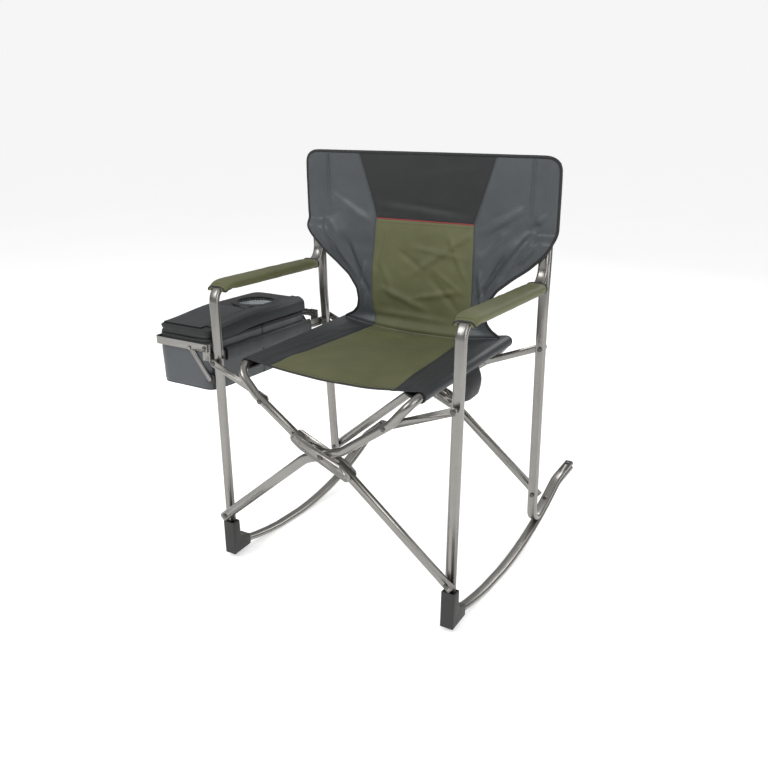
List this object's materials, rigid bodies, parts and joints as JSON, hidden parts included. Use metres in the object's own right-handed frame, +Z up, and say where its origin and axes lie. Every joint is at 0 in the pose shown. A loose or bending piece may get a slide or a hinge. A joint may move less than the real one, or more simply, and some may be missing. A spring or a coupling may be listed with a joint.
{
  "type": "folding rocking camp chair",
  "caption": "Folding director's chair on sprung rockers with padded arm covers, a sling seat and back, and a drop-down cooler shelf with a cup holder.",
  "frame": {"origin": "middle of the footprint's bounding box, on the floor under the rockers' soles", "axes": "+X to the viewer's right of a chair facing the viewer (the sitter's left), -Y the way the sitter faces, +Z up; the cooler is on the -X side"},
  "size_m": [0.7904, 0.7378, 0.9047],
  "materials": {
    "tube": "warm grey metallic coat on steel tube, semi-gloss",
    "fastener": "dark zinc-plated rivets, bolts and nuts",
    "foot_plastic": "dark grey moulded plastic, matt",
    "black_plastic": "black moulded plastic",
    "green_cloth": "olive green woven polyester with a faint diamond weave",
    "grey_cloth": "slate grey woven polyester with black piping",
    "black_cloth": "near-black woven polyester",
    "net": "silver-grey open mesh"
  },
  "bodies": {
    "right_side": {"leg_and_arm_right": "tube", "rear_post_right": "tube", "rocker_right": "tube", "foot_right": "foot_plastic", "arm_cover_right": "green_cloth", "arm_bolt_right": "fastener", "rocker_rivet_right": "fastener", "spring_rivet_right": "fastener", "tail_rivet_right": "fastener", "lower_bolt_front_right": "fastener", "lower_bolt_rear_right": "fastener", "link_bolt_front_right": "fastener", "link_bolt_rear_right": "fastener", "back_cloth": "grey_cloth"},
    "left_rail_frame": {"seat_rail_left": "tube", "lower_arm_front": "tube", "lower_arm_rear": "tube", "centre_bracket_front": "tube", "centre_bracket_rear": "tube", "centre_pin_front": "fastener", "centre_pin_rear": "fastener", "link_rivet_front_left": "fastener", "link_rivet_rear_left": "fastener", "seat_cloth": "green_cloth"},
    "right_rail_frame": {"seat_rail_right": "tube", "link_rivet_front_right": "fastener", "link_rivet_rear_right": "fastener", "side_pouch": "black_cloth"},
    "left_side": {"leg_and_arm_left": "tube", "rear_post_left": "tube", "rocker_left": "tube", "foot_left": "foot_plastic", "arm_cover_left": "green_cloth", "arm_bolt_left": "fastener", "rocker_rivet_left": "fastener", "spring_rivet_left": "fastener", "tail_rivet_left": "fastener", "lower_bolt_front_left": "fastener", "lower_bolt_rear_left": "fastener", "link_bolt_front_left": "fastener", "link_bolt_rear_left": "fastener", "shelf_rail": "tube", "shelf_bolt_front": "black_plastic", "shelf_bolt_rear": "black_plastic", "brace_peg_front": "black_plastic", "brace_peg_rear": "black_plastic", "hoop_pin_front": "fastener", "hoop_pin_rear": "fastener"},
    "right_links": {"link_front_right": "tube", "link_rear_right": "tube"},
    "left_links": {"link_front_left": "tube", "link_rear_left": "tube"},
    "cooler_shelf": {"shelf_hoop": "tube", "cooler_bag": "grey_cloth"},
    "shelf_braces": {"shelf_brace_front": "tube", "shelf_brace_rear": "tube"},
    "lid": {"cooler_lid": "black_cloth", "cup_net": "net", "cup_ring": "black_plastic"},
    "zipper": {"zipper_pull": "black_plastic"}
  },
  "joints": [
    {"name": "fold", "type": "hinge", "parent": "right_side", "child": "left_rail_frame", "pos_m": [0.37025, -0.34308, 0.11568], "axis": [0, 0.999, 0.0436], "range_deg": [0, 37], "deforming": ["seat_cloth", "back_cloth", "side_pouch"]},
    {"name": "x_pivot", "type": "hinge", "parent": "left_rail_frame", "child": "right_rail_frame", "pos_m": [0.07825, -0.35276, 0.33747], "axis": [0, 0.999, 0.0436], "range_deg": [-74.1, 0]},
    {"name": "left_foot_pivot", "type": "hinge", "parent": "right_rail_frame", "child": "left_side", "pos_m": [-0.21375, -0.34308, 0.11568], "axis": [0, 0.999, 0.0436], "range_deg": [0, 37.1]},
    {"name": "right_link_pivot", "type": "hinge", "parent": "right_side", "child": "right_links", "pos_m": [0.37025, -0.35926, 0.48632], "axis": [0, 0.999, 0.0436], "range_deg": [0, 99.1]},
    {"name": "left_link_pivot", "type": "hinge", "parent": "left_side", "child": "left_links", "pos_m": [-0.21375, -0.35926, 0.48632], "axis": [0, 0.999, 0.0436], "range_deg": [-99.1, 0]},
    {"name": "shelf_fold", "type": "hinge", "parent": "left_side", "child": "cooler_shelf", "pos_m": [-0.24375, -0.33858, 0.51368], "axis": [0, -1, 0], "range_deg": [0, 85], "deforming": ["cooler_bag", "cup_net"]},
    {"name": "brace_fold", "type": "hinge", "parent": "cooler_shelf", "child": "shelf_braces", "pos_m": [-0.28875, -0.33858, 0.50868], "axis": [0, -1, 0], "range_deg": [-127.2, 0]},
    {"name": "lid_hinge", "type": "hinge", "parent": "cooler_shelf", "child": "lid", "pos_m": [-0.39275, -0.32998, 0.53098], "axis": [0, -1, 0], "range_deg": [0, 110]},
    {"name": "zipper_slide", "type": "slide", "parent": "cooler_shelf", "child": "zipper", "axis": [0, 1, 0], "range_m": [0, 0.3]}
  ],
  "couplings": [
    {"joint": "x_pivot", "follows": "fold", "ratio": -2},
    {"joint": "left_foot_pivot", "follows": "fold", "ratio": 1},
    {"joint": "right_link_pivot", "follows": "fold", "ratio": 2.6735},
    {"joint": "left_link_pivot", "follows": "fold", "ratio": -2.6735},
    {"joint": "brace_fold", "follows": "shelf_fold", "ratio": -1.494}
  ]
}
